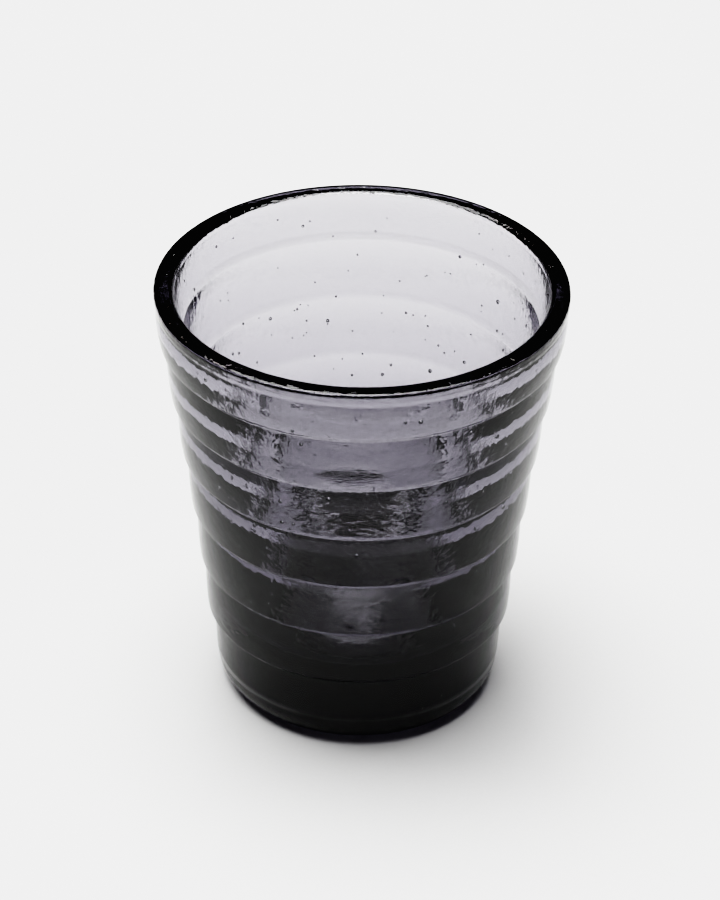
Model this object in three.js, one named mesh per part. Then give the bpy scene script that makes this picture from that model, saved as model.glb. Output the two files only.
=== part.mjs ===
// A stepped pressed-glass whiskey tumbler: one solid of revolution.
// Millimetres, +Z up, with the origin at the centre of the foot, on the table.

import * as THREE from "three";

// Driving dimensions
const height = 90; // table to the top of the rim
const rimRadius = 40;
const rimThickness = 3.7;
const rimOuterRound = 0.8;
const rimInnerRound = 1.2;
const neckHeight = 87.6; // a shallow neck below the rim divides it from the top band
const neckDepth = 0.2;
const neckRise = 0.4; // the rim swells back to its full radius over this height

// Seven bands divided by six steps: each band is a shallow barrel that ends in a lip
const stepCount = 6;
const stepPitch = 12.4;
const lowestStepHeight = 16.6; // the base band below it is the tallest
const topLipRadius = 39.2;
const bottomLipRadius = 30.5;
const flankSag = 0.5; // the row of lips is this much hollow at mid height
const bandBulge = 0.25; // each band above a lip swells outwards by this much
const stepDepth = 1.3; // lip to crease, radially
const lipRise = 1.4; // crease to lip, vertically
const lipRound = 0.4;
const creaseRound = 0.2;

// Foot
const heelRadius = 28.4; // sharp corner of the base band and the table, before rounding
const heelRound = 6.2;
const jointHeight = 6.8; // a fine ridge where the mould's base plate meets its sides
const jointStep = 0.2; // how far the heel leans out by then
const jointLedge = 0.15; // width and height of the ridge
const footInnerRadius = 18.5; // inside edge of the flat ring that rests on the table
const recessRadius = 15; // the dished middle of the underside, clear of the table
const recessHeight = 0.9;
const recessRound = 3;

// Inside
const floorHeight = 16; // at the wall
const floorCrown = 2.2; // how much higher the floor's middle is
const floorRadius = 19.8; // sharp corner of the wall and the floor, before rounding
const floorRound = 4;

// Fineness
const radialSegments = 72;
const degreesPerFacet = 24; // on rounded corners
const bandFacets = 4; // from the lip to the top of its band
const crownFacets = 3; // from the wall to the floor's middle

const degrees = THREE.MathUtils.degToRad;

// A corner of the outline: its radius from the axis, its height and its rounding
function corner(radius, z, round = 0) {
  return { at: new THREE.Vector2(radius, z), round };
}

// Points of an arc about a centre, from one angle to another
function arc(centre, radius, from, to, facets) {
  return Array.from({ length: facets + 1 }, (_, i) => {
    const angle = from + ((to - from) * i) / facets;
    return new THREE.Vector2(Math.cos(angle), Math.sin(angle)).multiplyScalar(radius).add(centre);
  });
}

// The arc that rounds a corner between its two straight neighbours
function roundedCorner(before, { at, round }, after) {
  const back = before.clone().sub(at).normalize();
  const ahead = after.clone().sub(at).normalize();
  const half = Math.acos(THREE.MathUtils.clamp(back.dot(ahead), -1, 1)) / 2;
  const middle = back.clone().add(ahead).normalize();
  const centre = middle.multiplyScalar(round / Math.sin(half)).add(at);
  const tangent = round / Math.tan(half);
  const start = back.multiplyScalar(tangent).add(at).sub(centre).angle();
  const end = ahead.multiplyScalar(tangent).add(at).sub(centre).angle();
  const turn = THREE.MathUtils.euclideanModulo(end - start + Math.PI, 2 * Math.PI) - Math.PI;
  const facets = Math.max(1, Math.round(Math.abs(turn) / degrees(degreesPerFacet)));
  return arc(centre, round, start, start + turn, facets);
}

// An outline through corners, with the sharp ones kept and the others rounded
function roundedOutline(corners) {
  return corners.flatMap((c, i) => {
    if (!c.round) return [c.at];
    return roundedCorner(corners[i - 1].at, c, corners[i + 1].at);
  });
}

// Underside, heel and mould joint, from the axis outwards
function footCorners() {
  const jointRadius = heelRadius + jointStep;
  return [
    corner(0, recessHeight),
    corner(recessRadius, recessHeight, recessRound),
    corner(footInnerRadius, 0),
    corner(heelRadius, 0, heelRound),
    corner(jointRadius, jointHeight),
    corner(jointRadius + jointLedge, jointHeight + jointLedge),
  ];
}

// Radius of a lip: the lips follow the flank from the bottom step (0) to the top one (1)
function lipRadius(rise) {
  const straight = THREE.MathUtils.lerp(bottomLipRadius, topLipRadius, rise);
  return straight - flankSag * 4 * rise * (1 - rise);
}

// The crease under a lip
function creaseCorner(step) {
  const radius = lipRadius(step / (stepCount - 1)) - stepDepth;
  return corner(radius, lowestStepHeight + step * stepPitch, creaseRound);
}

// The neck between the top band and the rim
function neckCorner() {
  return corner(rimRadius - neckDepth, neckHeight);
}

// A crease, the lip above it and the swollen band above that, up to the next crease or the neck
function bandCorners(step) {
  const crease = creaseCorner(step);
  const lip = corner(crease.at.x + stepDepth, crease.at.y + lipRise, lipRound);
  const end = step < stepCount - 1 ? creaseCorner(step + 1) : neckCorner();
  const swell = Array.from({ length: bandFacets - 1 }, (_, i) => {
    const rise = (i + 1) / bandFacets;
    const at = lip.at.clone().lerp(end.at, rise);
    return corner(at.x + bandBulge * 4 * rise * (1 - rise), at.y);
  });
  return [crease, lip, ...swell];
}

// The neck, and the rim's outer and inner edges
function rimCorners() {
  return [
    neckCorner(),
    corner(rimRadius, neckHeight + neckRise),
    corner(rimRadius, height, rimOuterRound),
    corner(rimRadius - rimThickness, height, rimInnerRound),
  ];
}

// The rounded foot of the inner wall, and the slightly crowned floor
function floorCorners() {
  const crown = Array.from({ length: crownFacets }, (_, i) => {
    const outwards = 1 - (i + 1) / crownFacets;
    return corner(floorRadius * outwards, floorHeight + floorCrown * (1 - outwards ** 2));
  });
  return [corner(floorRadius, floorHeight, floorRound), ...crown];
}

function tumblerGeometry() {
  const bands = Array.from({ length: stepCount }, (_, step) => bandCorners(step)).flat();
  const profile = roundedOutline([...footCorners(), ...bands, ...rimCorners(), ...floorCorners()]);
  const geometry = new THREE.LatheGeometry(profile, radialSegments);
  geometry.rotateX(degrees(90)); // a lathe turns about Y: stand it up along Z
  return geometry;
}

// Smoke-grey soda-lime glass with a slight lavender cast
function glassMaterial() {
  return new THREE.MeshStandardMaterial({
    name: "smoke grey glass",
    color: 0x6f6a74,
    roughness: 0.05,
    metalness: 0,
  });
}

const tumbler = new THREE.Mesh(tumblerGeometry(), glassMaterial());
tumbler.name = "tumbler_body";

const group = new THREE.Group();
group.add(tumbler);

export default group;
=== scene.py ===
"""A stepped pressed-glass whiskey tumbler in smoke grey, standing on a white paper sweep."""

import math

import bpy
from mathutils import Matrix, Vector


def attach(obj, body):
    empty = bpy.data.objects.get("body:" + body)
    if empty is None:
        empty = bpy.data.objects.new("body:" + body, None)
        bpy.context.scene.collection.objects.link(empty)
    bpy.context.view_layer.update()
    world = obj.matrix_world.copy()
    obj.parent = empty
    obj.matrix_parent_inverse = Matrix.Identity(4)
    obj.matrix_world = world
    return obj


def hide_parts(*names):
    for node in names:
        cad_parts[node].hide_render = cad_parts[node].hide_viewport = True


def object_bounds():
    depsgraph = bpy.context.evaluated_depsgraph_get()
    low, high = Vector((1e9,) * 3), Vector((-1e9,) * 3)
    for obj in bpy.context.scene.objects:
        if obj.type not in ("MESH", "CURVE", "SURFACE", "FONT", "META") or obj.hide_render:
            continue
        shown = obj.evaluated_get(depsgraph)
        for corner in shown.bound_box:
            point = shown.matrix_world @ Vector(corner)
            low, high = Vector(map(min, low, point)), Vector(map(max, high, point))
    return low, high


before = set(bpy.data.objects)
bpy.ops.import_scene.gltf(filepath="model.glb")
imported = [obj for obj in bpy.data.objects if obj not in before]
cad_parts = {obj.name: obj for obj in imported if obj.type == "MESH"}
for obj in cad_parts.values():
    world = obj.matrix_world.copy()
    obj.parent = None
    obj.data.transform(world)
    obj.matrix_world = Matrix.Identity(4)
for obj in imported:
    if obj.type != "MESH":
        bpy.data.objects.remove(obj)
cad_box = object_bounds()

MM = 0.001

# ---- Sizes, in metres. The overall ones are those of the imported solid's box. ----

LOWEST, HIGHEST = (Vector(corner) for corner in cad_box)
HEIGHT = HIGHEST.z - LOWEST.z
RIM_RADIUS = (HIGHEST.x - LOWEST.x) / 2

RIM_THICKNESS = 3.7 * MM
RIM_OUTER_ROUND = 0.8 * MM
RIM_INNER_ROUND = 1.2 * MM
NECK_HEIGHT = 87.6 * MM
NECK_DEPTH = 0.2 * MM
NECK_RISE = 0.4 * MM

STEP_COUNT = 6
STEP_PITCH = 12.4 * MM
LOWEST_STEP_HEIGHT = 16.6 * MM
TOP_LIP_RADIUS = 39.2 * MM
BOTTOM_LIP_RADIUS = 30.5 * MM
FLANK_SAG = 0.5 * MM
BAND_BULGE = 0.25 * MM
STEP_DEPTH = 1.3 * MM
LIP_RISE = 1.4 * MM
LIP_ROUND = 0.4 * MM
CREASE_ROUND = 0.2 * MM

HEEL_RADIUS = 28.4 * MM
HEEL_ROUND = 6.2 * MM
JOINT_HEIGHT = 6.8 * MM  # where the mould's base plate met its sides
JOINT_STEP = 0.2 * MM
JOINT_LEDGE = 0.15 * MM
FOOT_INNER_RADIUS = 18.5 * MM
RECESS_RADIUS = 15 * MM
RECESS_HEIGHT = 0.9 * MM
RECESS_ROUND = 3 * MM

FLOOR_HEIGHT = 16 * MM
FLOOR_RADIUS = 19.8 * MM
FLOOR_ROUND = 4 * MM
FLOOR_CROWN = 2.2 * MM

# Fineness of the turned glass
TURNED_FACETS = 192
CORNER_FACETS = 7
BAND_FACETS = 14
CROWN_FACETS = 3
LONGEST_FACET = 1.2 * MM


# ---- Helpers ----


def linear(hex_colour):
    """An sRGB hex colour as linear RGBA."""
    channels = [int(hex_colour[i : i + 2], 16) / 255 for i in (1, 3, 5)]
    return [c / 12.92 if c <= 0.04045 else ((c + 0.055) / 1.055) ** 2.4 for c in channels] + [1]


def per(size_mm):
    """The texture scale whose features are this many millimetres across."""
    return 1 / (size_mm * MM)


def add(tree, kind, inputs=None, **settings):
    """Adds a node. Settings are its properties; an input gets a value, or a socket to link from."""
    node = tree.nodes.new(kind)
    for name, value in settings.items():
        setattr(node, name, value)
    for key, value in (inputs or {}).items():
        if isinstance(value, bpy.types.NodeSocket):
            tree.links.new(value, node.inputs[key])
        else:
            node.inputs[key].default_value = value
    return node


def new_material(name):
    material = bpy.data.materials.new(name)
    material.use_nodes = True
    material.node_tree.nodes.clear()
    return material, material.node_tree


def link(name, data):
    obj = bpy.data.objects.new(name, data)
    bpy.context.scene.collection.objects.link(obj)
    return obj


def new_group(name, sockets):
    """A geometry tree whose named inputs are given as (name, socket type, value)."""
    tree = bpy.data.node_groups.new(name, "GeometryNodeTree")
    tree.interface.new_socket("Geometry", in_out="INPUT", socket_type="NodeSocketGeometry")
    tree.interface.new_socket("Geometry", in_out="OUTPUT", socket_type="NodeSocketGeometry")
    for socket_name, kind, _ in sockets:
        tree.interface.new_socket(socket_name, in_out="INPUT", socket_type=kind)
    return tree


def finish_group(tree, geometry, material):
    real = add(tree, "GeometryNodeRealizeInstances", {"Geometry": geometry})
    coat = {"Geometry": real.outputs[0], "Material": material}
    coated = add(tree, "GeometryNodeSetMaterial", coat)
    add(tree, "NodeGroupOutput", {"Geometry": coated.outputs[0]})


def grown(source, tree, sockets, name):
    """Runs a geometry tree on a source object and keeps the result as a plain mesh."""
    modifier = source.modifiers.new(tree.name, "NODES")
    modifier.node_group = tree
    values = {socket_name: value for socket_name, _, value in sockets}
    for item in tree.interface.items_tree:
        if item.in_out == "INPUT" and item.name in values:
            modifier[item.identifier] = values[item.name]
    evaluated = source.evaluated_get(bpy.context.evaluated_depsgraph_get())
    mesh = bpy.data.meshes.new_from_object(evaluated)
    source.modifiers.clear()
    bpy.data.objects.remove(source)
    mesh.name = name
    return link(name, mesh)


# ---- The tumbler's outline ----


def lip_radius(step):
    """The lips follow the flank, which is a little hollow at mid height."""
    rise = step / (STEP_COUNT - 1)
    straight = BOTTOM_LIP_RADIUS + (TOP_LIP_RADIUS - BOTTOM_LIP_RADIUS) * rise
    return straight - FLANK_SAG * 4 * rise * (1 - rise)


def foot_corners():
    """The dished underside, the ring that rests on the table, and the heel."""
    return [
        (0, RECESS_HEIGHT, 0),
        (RECESS_RADIUS, RECESS_HEIGHT, RECESS_ROUND),
        (FOOT_INNER_RADIUS, 0, 0),
        (HEEL_RADIUS, 0, HEEL_ROUND),
        (HEEL_RADIUS + JOINT_STEP, JOINT_HEIGHT, 0),
        (HEEL_RADIUS + JOINT_STEP + JOINT_LEDGE, JOINT_HEIGHT + JOINT_LEDGE, 0),
    ]


def crease_corner(step):
    return lip_radius(step) - STEP_DEPTH, LOWEST_STEP_HEIGHT + step * STEP_PITCH, CREASE_ROUND


def band_corners(step):
    """A crease, the lip above it, and the swollen band up to the next crease or the neck."""
    crease = crease_corner(step)
    lip = (crease[0] + STEP_DEPTH, crease[1] + LIP_RISE, LIP_ROUND)
    neck = (RIM_RADIUS - NECK_DEPTH, NECK_HEIGHT)
    end = crease_corner(step + 1) if step < STEP_COUNT - 1 else neck
    swell = []
    for i in range(1, BAND_FACETS):
        rise = i / BAND_FACETS
        radius = lip[0] + (end[0] - lip[0]) * rise + BAND_BULGE * 4 * rise * (1 - rise)
        swell.append((radius, lip[1] + (end[1] - lip[1]) * rise, 0))
    return [crease, lip] + swell


def rim_corners():
    return [
        (RIM_RADIUS - NECK_DEPTH, NECK_HEIGHT, 0),
        (RIM_RADIUS, NECK_HEIGHT + NECK_RISE, 0),
        (RIM_RADIUS, HEIGHT, RIM_OUTER_ROUND),
        (RIM_RADIUS - RIM_THICKNESS, HEIGHT, RIM_INNER_ROUND),
    ]


def inside_corners():
    """The rounded foot of the inner wall, and the slightly crowned floor."""
    corners = [(FLOOR_RADIUS, FLOOR_HEIGHT, FLOOR_ROUND)]
    for i in range(1, CROWN_FACETS + 1):
        inwards = i / CROWN_FACETS
        rise = FLOOR_CROWN * (1 - (1 - inwards) ** 2)
        corners.append((FLOOR_RADIUS * (1 - inwards), FLOOR_HEIGHT + rise, 0))
    return corners


def arc(centre, radius, start, turn):
    angles = [start + turn * i / CORNER_FACETS for i in range(CORNER_FACETS + 1)]
    return [centre + radius * Vector((math.cos(a), math.sin(a))) for a in angles]


def rounded(before, corner, after):
    """The arc that rounds a corner between its neighbours, or the sharp corner itself."""
    at = Vector(corner[:2])
    round_ = corner[2]
    if not round_:
        return [at]
    back = (Vector(before[:2]) - at).normalized()
    ahead = (Vector(after[:2]) - at).normalized()
    half = back.angle(ahead) / 2
    centre = at + (back + ahead).normalized() * round_ / math.sin(half)
    start = at + back * round_ / math.tan(half) - centre
    end = at + ahead * round_ / math.tan(half) - centre
    start_angle = math.atan2(start.y, start.x)
    turn = (math.atan2(end.y, end.x) - start_angle + math.pi) % math.tau - math.pi
    return arc(centre, round_, start_angle, turn)


def subdivided(points):
    """Splits long facets, so that the ripple has points to move."""
    fine = [points[0]]
    for a, b in zip(points, points[1:]):
        count = max(1, math.ceil((b - a).length / LONGEST_FACET))
        fine += [a.lerp(b, i / count) for i in range(1, count + 1)]
    return fine


def outline_points(corners):
    points = []
    for i, corner in enumerate(corners):
        after = corners[min(i + 1, len(corners) - 1)]
        points += rounded(corners[i - 1], corner, after)
    return subdivided(points)


def outline_object():
    """The outline from the underside's middle to the floor's middle, as a row of edges in XZ."""
    corners = foot_corners()
    for step in range(STEP_COUNT):
        corners += band_corners(step)
    corners += rim_corners() + inside_corners()
    points = outline_points(corners)
    top = max(range(len(points)), key=lambda i: points[i].y)
    mesh = bpy.data.meshes.new("outline")
    edges = [(i, i + 1) for i in range(len(points) - 1)]
    mesh.from_pydata([(p.x, 0, p.y) for p in points], edges, [])
    inner = mesh.attributes.new("inner_wall", "FLOAT", "POINT")
    inner.data.foreach_set("value", [1.0 if i > top else 0.0 for i in range(len(points))])
    return link("outline", mesh)


# ---- Turned glass ----

TURNED_SIZES = [
    ("Facets", "NodeSocketInt", TURNED_FACETS),
    ("Ripple Depth", "NodeSocketFloat", 0.035 * MM),
    ("Ripple Spacing", "NodeSocketFloat", 9 * MM),
    ("Ripple Seed", "NodeSocketFloat", 4.0),
]


def turned_tree(material):
    """Turns the outline about the upright axis, then presses a slow ripple into the skin."""
    tree = new_group("turned outline", TURNED_SIZES)
    sizes = add(tree, "NodeGroupInput")
    facets = sizes.outputs["Facets"]
    rows = add(tree, "GeometryNodeAttributeDomainSize", {"Geometry": sizes.outputs["Geometry"]})
    columns = add(tree, "FunctionNodeIntegerMath", {0: facets, 1: 1}, operation="ADD").outputs[0]
    counts = {"Vertices X": rows.outputs["Point Count"], "Vertices Y": columns}
    sheet = add(tree, "GeometryNodeMeshGrid", counts)
    index = add(tree, "GeometryNodeInputIndex").outputs[0]
    row = add(tree, "FunctionNodeIntegerMath", {0: index, 1: columns}, operation="DIVIDE_FLOOR")
    column = add(tree, "FunctionNodeIntegerMath", {0: index, 1: columns}, operation="MODULO")
    position = add(tree, "GeometryNodeInputPosition").outputs[0]
    point = add(
        tree,
        "GeometryNodeSampleIndex",
        {"Geometry": sizes.outputs["Geometry"], "Value": position, "Index": row.outputs[0]},
        data_type="FLOAT_VECTOR",
    )
    part_turn = add(tree, "ShaderNodeMath", {0: column.outputs[0], 1: facets}, operation="DIVIDE")
    whole_turn = {0: part_turn.outputs[0], 1: math.tau}
    angle = add(tree, "ShaderNodeMath", whole_turn, operation="MULTIPLY")
    place = add(
        tree,
        "ShaderNodeVectorRotate",
        {"Vector": point.outputs[0], "Angle": angle.outputs[0]},
        rotation_type="Z_AXIS",
    )
    inner = add(tree, "GeometryNodeInputNamedAttribute", {"Name": "inner_wall"}, data_type="FLOAT")
    inner_here = add(
        tree,
        "GeometryNodeSampleIndex",
        {"Geometry": sizes.outputs["Geometry"], "Value": inner.outputs[0], "Index": row.outputs[0]},
        data_type="FLOAT",
    )
    marked = add(
        tree,
        "GeometryNodeStoreNamedAttribute",
        {"Geometry": sheet.outputs["Mesh"], "Name": "inner_wall", "Value": inner_here.outputs[0]},
        data_type="FLOAT",
    )
    turned = add(
        tree,
        "GeometryNodeSetPosition",
        {"Geometry": marked.outputs[0], "Position": place.outputs[0]},
    )
    closed = add(
        tree,
        "GeometryNodeMergeByDistance",
        {"Geometry": turned.outputs[0], "Distance": 0.001 * MM},
    )
    outward = add(tree, "GeometryNodeFlipFaces", {"Mesh": closed.outputs[0]})
    spacing = sizes.outputs["Ripple Spacing"]
    ripple = add(tree, "ShaderNodeVectorMath", {0: position, 1: spacing}, operation="DIVIDE")
    noise = add(
        tree,
        "ShaderNodeTexNoise",
        {
            "Vector": ripple.outputs[0],
            "W": sizes.outputs["Ripple Seed"],
            "Scale": 1.0,
            "Detail": 1.0,
        },
        noise_dimensions="4D",
    )
    sink = add(
        tree,
        "ShaderNodeMath",
        {0: noise.outputs[0], 1: sizes.outputs["Ripple Depth"]},
        operation="MULTIPLY",
    )
    normal = add(tree, "GeometryNodeInputNormal").outputs[0]
    inwards = add(tree, "ShaderNodeVectorMath", {0: normal, 1: (-1, -1, -1)}, operation="MULTIPLY")
    shift = add(
        tree,
        "ShaderNodeVectorMath",
        {0: inwards.outputs[0], "Scale": sink.outputs[0]},
        operation="SCALE",
    )
    rippled = add(
        tree,
        "GeometryNodeSetPosition",
        {"Geometry": outward.outputs[0], "Offset": shift.outputs[0]},
    )
    smooth = add(tree, "GeometryNodeSetShadeSmooth", {"Geometry": rippled.outputs[0]})
    finish_group(tree, smooth.outputs[0], material)
    return tree


# ---- Seeds: small bubbles of air that the molten glass never lost ----

SEED_SIZES = [
    ("Count", "NodeSocketInt", 640),
    ("Smallest", "NodeSocketFloat", 0.14 * MM),
    ("Largest", "NodeSocketFloat", 0.45 * MM),
    ("Lowest", "NodeSocketFloat", 3 * MM),
    ("Highest", "NodeSocketFloat", 86 * MM),
    ("Seed", "NodeSocketInt", 11),
]
SEED_SIZE_POWER = 3  # most seeds are small and a few are large


def seeds_tree(material):
    """Scatters seeds inside the wall and the base: each is a ball between the two skins."""
    tree = new_group("seeds in the glass", SEED_SIZES)
    sizes = add(tree, "NodeGroupInput")
    seed = sizes.outputs["Seed"]

    def chance(offset, low, high):
        number = add(tree, "FunctionNodeIntegerMath", {0: seed, 1: offset}, operation="ADD")
        drawn = add(tree, "FunctionNodeRandomValue", {"Seed": number.outputs[0]}, data_type="FLOAT")
        for name, value in (("Min", low), ("Max", high)):
            socket = [s for s in drawn.inputs if s.name == name and s.type == "VALUE"][0]
            if isinstance(value, bpy.types.NodeSocket):
                tree.links.new(value, socket)
            else:
                socket.default_value = value
        return [s for s in drawn.outputs if s.type == "VALUE"][0]

    def ramp(height, ends, radii):
        inputs = {"Value": height, "From Min": ends[0], "From Max": ends[1]}
        inputs.update({"To Min": radii[0], "To Max": radii[1]})
        return add(tree, "ShaderNodeMapRange", inputs).outputs[0]

    height = chance(1, sizes.outputs["Lowest"], sizes.outputs["Highest"])
    wall_top = (FLOOR_HEIGHT, HEIGHT)
    inner = ramp(height, wall_top, (FLOOR_RADIUS, RIM_RADIUS - RIM_THICKNESS))
    creases = (lip_radius(0) - STEP_DEPTH, RIM_RADIUS - STEP_DEPTH)
    outer = ramp(height, (LOWEST_STEP_HEIGHT, HEIGHT), creases)
    depth = chance(2, 0.25, 0.75)
    mixed = add(tree, "ShaderNodeMix", {"Factor": depth, "A": inner, "B": outer}, data_type="FLOAT")
    angle = chance(3, 0.0, math.tau)
    arm = add(tree, "ShaderNodeCombineXYZ", {"X": mixed.outputs[0], "Z": height})
    place = add(
        tree,
        "ShaderNodeVectorRotate",
        {"Vector": arm.outputs[0], "Angle": angle},
        rotation_type="Z_AXIS",
    )
    luck = chance(4, 0.0, 1.0)
    share = add(tree, "ShaderNodeMath", {0: luck, 1: SEED_SIZE_POWER}, operation="POWER")
    size = ramp(share.outputs[0], (0.0, 1.0), (sizes.outputs["Smallest"], sizes.outputs["Largest"]))
    inputs = {"Count": sizes.outputs["Count"], "Position": place.outputs[0]}
    points = add(tree, "GeometryNodePoints", inputs)
    ball = add(tree, "GeometryNodeMeshIcoSphere", {"Radius": 1.0, "Subdivisions": 2})
    rolled = add(tree, "GeometryNodeSetShadeSmooth", {"Geometry": ball.outputs["Mesh"]})
    inputs = {"Points": points.outputs[0], "Instance": rolled.outputs[0], "Scale": size}
    scattered = add(tree, "GeometryNodeInstanceOnPoints", inputs)
    finish_group(tree, scattered.outputs[0], material)
    return tree


# ---- Materials ----

GLASS_IOR = 1.52
SMOKE = (0.606, 0.596, 0.637, 1)  # lets light through almost evenly, with a touch of lavender
SMOKE_DENSITY = 290.0

PEEL_MM = 1.4  # spacing of the mould's orange peel
PEEL_HEIGHT = 0.04 * MM
DRAG_MM = 1.2  # spacing of the plunger's drag wrinkles, which run up the inner wall
DRAG_HEIGHT = 0.038 * MM
DRAG_DRAWN_OUT = (1, 1, 0.12)

RIM_WAVES_START = 88.6 * MM  # the fire-polish softened only the rim
RIM_WAVES_FULL = 89.6 * MM
RIM_WAVE_MM = 2.6
RIM_WAVE_HEIGHT = 0.25 * MM

CHILL_CENTRE = (-1.5 * MM, -36.3 * MM, 69.7 * MM)  # on the front of the second band
CHILL_WIDTH = 7.5 * MM  # from its centre to its edge, sideways and then upwards
CHILL_RISE = 2.2 * MM
CHILL_SOLID_SHARE = 0.3  # the wrinkles are at full height over this share of the way out
CHILL_WRINKLE_MM = 0.9
CHILL_SQUEEZED = (0.4, 0.4, 1.6)
CHILL_HEIGHT = 0.6 * MM

WEAR_TOP = 0.6 * MM  # only the ring that stands on the table is scuffed
WORN_ROUGHNESS = 0.35
SCUFF_MM = 0.6


def rim_waves(tree, place):
    """Height of the small waves and creases that the fire-polish left in the rim."""
    height = add(tree, "ShaderNodeSeparateXYZ", {"Vector": place}).outputs["Z"]
    rim = {"Value": height, "From Min": RIM_WAVES_START, "From Max": RIM_WAVES_FULL}
    share = add(tree, "ShaderNodeMapRange", rim).outputs[0]
    waves = add(
        tree,
        "ShaderNodeTexNoise",
        {"Vector": place, "Scale": per(RIM_WAVE_MM), "Detail": 2.0, "Distortion": 0.8},
    )
    scaled = add(tree, "ShaderNodeMath", {0: waves.outputs[0], 1: share}, operation="MULTIPLY")
    return scaled.outputs[0]


def chill_mark(tree, place):
    """Height of a chill mark: fine cross-wrinkles where the gather first met the cold mould."""
    offset = add(tree, "ShaderNodeVectorMath", {0: place, 1: CHILL_CENTRE}, operation="SUBTRACT")
    shares = {0: offset.outputs[0], 1: (1 / CHILL_WIDTH, 1 / CHILL_WIDTH, 1 / CHILL_RISE)}
    reach = add(tree, "ShaderNodeVectorMath", shares, operation="MULTIPLY")
    away = add(tree, "ShaderNodeVectorMath", {0: reach.outputs[0]}, operation="LENGTH")
    edge = {"Value": away.outputs["Value"], "From Min": 1.0, "From Max": CHILL_SOLID_SHARE}
    share = add(tree, "ShaderNodeMapRange", edge).outputs[0]
    squeezed = add(tree, "ShaderNodeMapping", {"Vector": place, "Scale": CHILL_SQUEEZED})
    wrinkles = add(
        tree,
        "ShaderNodeTexNoise",
        {
            "Vector": squeezed.outputs[0],
            "Scale": per(CHILL_WRINKLE_MM),
            "Detail": 3.0,
            "Distortion": 1.2,
        },
    )
    scaled = add(tree, "ShaderNodeMath", {0: wrinkles.outputs[0], 1: share}, operation="MULTIPLY")
    return scaled.outputs[0]


def foot_wear(tree, place):
    """Roughness of the foot, scuffed by years of sliding over tables and smooth above that."""
    height = add(tree, "ShaderNodeSeparateXYZ", {"Vector": place}).outputs["Z"]
    scuffed = {"Value": height, "From Min": WEAR_TOP, "From Max": 0.0, "To Max": WORN_ROUGHNESS}
    most = add(tree, "ShaderNodeMapRange", scuffed).outputs[0]
    speckle = {"Vector": place, "Scale": per(SCUFF_MM), "Detail": 3.0}
    scuffs = add(tree, "ShaderNodeTexNoise", speckle)
    worn = add(tree, "ShaderNodeMath", {0: scuffs.outputs[0], 1: most}, operation="MULTIPLY")
    return worn.outputs[0]


def smoke_glass():
    """Smoke-grey soda-lime glass, pressed hot between an iron mould and a plunger, then
    fire-polished: clear and very smooth, with the iron's faint orange peel on the outside and
    long drag wrinkles from the plunger inside. The eye sees a tint that deepens with thickness:
    pale at the back wall, lavender in the front, nearly black in the base and round the rim."""
    material, tree = new_material("pressed smoke soda-lime glass")
    place = add(tree, "ShaderNodeTexCoord").outputs["Object"]
    inner = add(tree, "ShaderNodeAttribute", attribute_name="inner_wall").outputs["Fac"]
    peel = add(
        tree,
        "ShaderNodeTexNoise",
        {"Vector": place, "Scale": per(PEEL_MM), "Detail": 1.0, "Roughness": 0.5},
    )
    peeled = add(
        tree,
        "ShaderNodeBump",
        {"Height": peel.outputs[0], "Distance": PEEL_HEIGHT, "Strength": 1.0},
    )
    drawn = add(tree, "ShaderNodeMapping", {"Vector": place, "Scale": DRAG_DRAWN_OUT})
    drag = add(
        tree,
        "ShaderNodeTexNoise",
        {
            "Vector": drawn.outputs[0],
            "Scale": per(DRAG_MM),
            "Detail": 1.5,
            "Distortion": 0.4,
        },
    )
    drag_height = add(tree, "ShaderNodeMath", {0: drag.outputs[0], 1: inner}, operation="MULTIPLY")
    dragged = add(
        tree,
        "ShaderNodeBump",
        {
            "Height": drag_height.outputs[0],
            "Distance": DRAG_HEIGHT,
            "Strength": 1.0,
            "Normal": peeled.outputs[0],
        },
    )
    polished = add(
        tree,
        "ShaderNodeBump",
        {
            "Height": rim_waves(tree, place),
            "Distance": RIM_WAVE_HEIGHT,
            "Strength": 1.0,
            "Normal": dragged.outputs[0],
        },
    )
    chilled = add(
        tree,
        "ShaderNodeBump",
        {
            "Height": chill_mark(tree, place),
            "Distance": CHILL_HEIGHT,
            "Strength": 1.0,
            "Normal": polished.outputs[0],
        },
    )
    shader = add(
        tree,
        "ShaderNodeBsdfPrincipled",
        {
            "Base Color": (1, 1, 1, 1),
            "Roughness": foot_wear(tree, place),
            "IOR": GLASS_IOR,
            "Transmission Weight": 1.0,
            "Normal": chilled.outputs[0],
        },
    )
    volume = add(tree, "ShaderNodeVolumeAbsorption", {"Color": SMOKE, "Density": SMOKE_DENSITY})
    outputs = {"Surface": shader.outputs[0], "Volume": volume.outputs[0]}
    add(tree, "ShaderNodeOutputMaterial", outputs)
    return material


def seed_air():
    """Air inside a seed: seen from the glass around it, its index is below one, so a seed shows
    as a dark ring with a bright point in it."""
    material, tree = new_material("air in a glass seed")
    shader = add(
        tree,
        "ShaderNodeBsdfPrincipled",
        {
            "Base Color": (1, 1, 1, 1),
            "Roughness": 0.0,
            "IOR": 1 / GLASS_IOR,
            "Transmission Weight": 1.0,
        },
    )
    add(tree, "ShaderNodeOutputMaterial", {"Surface": shader.outputs[0]})
    return material


PAPER_FIBRE_MM = 0.8
PAPER_FIBRE_HEIGHT = 0.02 * MM


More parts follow.
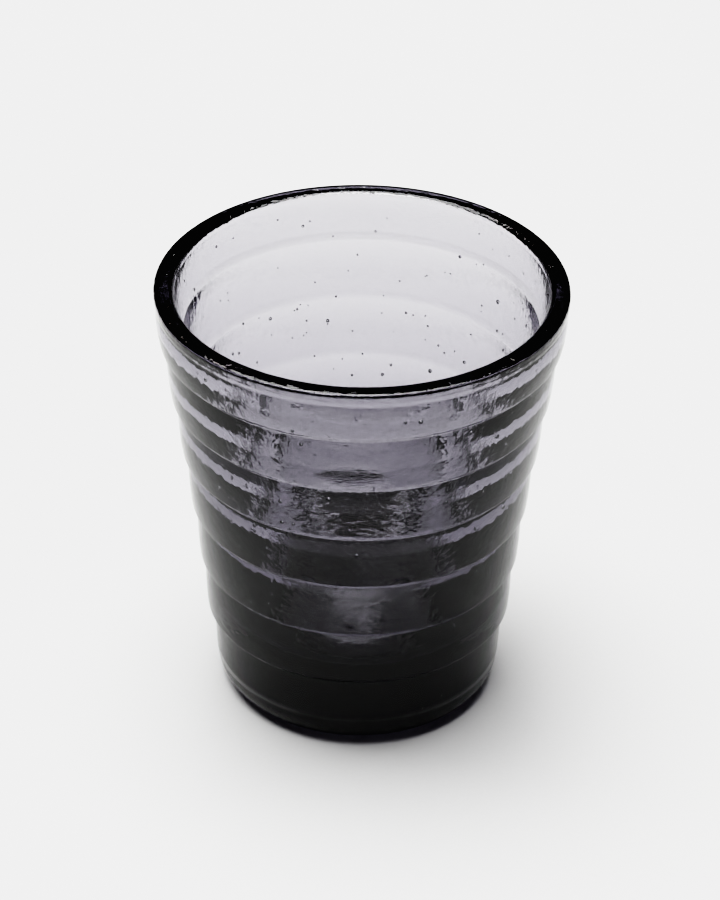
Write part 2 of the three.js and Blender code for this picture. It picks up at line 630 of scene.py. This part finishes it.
def sweep_paper():
    """Seamless white background paper: matt, uncoated, with a faint tooth of fibres."""
    material, tree = new_material("seamless background paper")
    place = add(tree, "ShaderNodeTexCoord").outputs["Object"]
    fibres = {"Vector": place, "Scale": per(PAPER_FIBRE_MM), "Detail": 4.0}
    tooth = add(tree, "ShaderNodeTexNoise", fibres)
    colour = add(
        tree,
        "ShaderNodeMix",
        {"Factor": tooth.outputs[0], "A": linear("#f0f0ef"), "B": linear("#f5f5f4")},
        data_type="RGBA",
    )
    matt = {"Value": tooth.outputs[0], "To Min": 0.9, "To Max": 1.0}
    roughness = add(tree, "ShaderNodeMapRange", matt).outputs[0]
    grain = add(
        tree,
        "ShaderNodeBump",
        {"Height": tooth.outputs[0], "Distance": PAPER_FIBRE_HEIGHT, "Strength": 0.5},
    )
    shader = add(
        tree,
        "ShaderNodeBsdfPrincipled",
        {
            "Base Color": colour.outputs["Result"],
            "Roughness": roughness,
            "Specular IOR Level": 0.1,
            "Normal": grain.outputs[0],
        },
    )
    add(tree, "ShaderNodeOutputMaterial", {"Surface": shader.outputs[0]})
    return material


# ---- The object ----

glass = grown(outline_object(), turned_tree(smoke_glass()), TURNED_SIZES, "tumbler_glass")
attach(glass, "root")
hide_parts("tumbler_body")

scatter_source = link("seed source", bpy.data.meshes.new("seed source"))
seeds = grown(scatter_source, seeds_tree(seed_air()), SEED_SIZES, "glass_seeds")
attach(seeds, "root")


# ---- Studio ----

SWEEP_WIDTH = 4.0  # wide enough to fill the picture and light the glass from all sides
OVERHEAD_PLACE = (-0.1, 0.1, 0.9)
OVERHEAD_SIZE = (0.9, 0.9)
OVERHEAD_WATTS = 19
SWEEP_GAP = 0.02 * MM  # keeps the paper from touching the foot's own plane


def paper_sweep():
    half = SWEEP_WIDTH / 2
    corners = [(-half, -half), (half, -half), (half, half), (-half, half)]
    mesh = bpy.data.meshes.new("paper_sweep")
    mesh.from_pydata([(x, y, -SWEEP_GAP) for x, y in corners], [], [(0, 1, 2, 3)])
    mesh.materials.append(sweep_paper())
    sweep = link("paper_sweep", mesh)


def softbox(name, place, size, watts):
    light = bpy.data.lights.new(name, "AREA")
    light.shape = "RECTANGLE"
    light.size, light.size_y = size
    light.energy = watts
    box = link(name, light)
    box.location = place
    aim = Vector((0, 0, HEIGHT / 2)) - box.location
    box.rotation_euler = aim.to_track_quat("-Z", "Y").to_euler()


paper_sweep()
softbox("overhead_softbox", OVERHEAD_PLACE, OVERHEAD_SIZE, OVERHEAD_WATTS)

studio = bpy.data.worlds.new("dark studio")
studio.use_nodes = True
studio.node_tree.nodes["Background"].inputs["Strength"].default_value = 0.0
bpy.context.scene.world = studio


# ---- Camera ----

CAMERA_DISTANCE = 0.678
CAMERA_ELEVATION = math.radians(33.24)
CAMERA_ROLL = math.radians(0.734)
CAMERA_TARGET_HEIGHT = 0.0521
SENSOR_WIDTH = 36
FOCAL_LENGTH = 171.75


def camera():
    lens = bpy.data.cameras.new("camera")
    lens.sensor_fit = "HORIZONTAL"
    lens.sensor_width = SENSOR_WIDTH
    lens.lens = FOCAL_LENGTH
    body = link("camera", lens)
    reach = CAMERA_DISTANCE * math.cos(CAMERA_ELEVATION)
    rise = CAMERA_DISTANCE * math.sin(CAMERA_ELEVATION)
    body.location = (0, -reach, CAMERA_TARGET_HEIGHT + rise)
    tilt = Matrix.Rotation(math.pi / 2 - CAMERA_ELEVATION, 3, "X")
    body.rotation_euler = (tilt @ Matrix.Rotation(CAMERA_ROLL, 3, "Z")).to_euler()
    bpy.context.scene.camera = body


# A tone curve with deep shadows and a soft shoulder: scene light against display light
TONE_WHITE = 1.6
TONES = [
    (0, 0.001),
    (0.04, 0.0045),
    (0.08, 0.019),
    (0.15, 0.07),
    (0.3, 0.25),
    (0.6, 0.56),
    (0.9, 0.76),
    (1.2, 0.85),
    (1.6, 0.871),
]


def studio_print():
    view = bpy.context.scene.view_settings
    view.view_transform = "Standard"
    view.use_curve_mapping = True
    view.curve_mapping.white_level = (TONE_WHITE,) * 3
    curve = view.curve_mapping.curves[3]
    ends = [(TONES[0][0], TONES[0][1]), (TONES[-1][0] / TONE_WHITE, TONES[-1][1])]
    curve.points[0].location, curve.points[1].location = ends
    for light, shown in TONES[1:-1]:
        curve.points.new(light / TONE_WHITE, shown)
    view.curve_mapping.update()


camera()
studio_print()
cycles = bpy.context.scene.cycles
cycles.max_bounces = 24
cycles.transmission_bounces = 24
cycles.glossy_bounces = 12
cycles.use_denoising = True
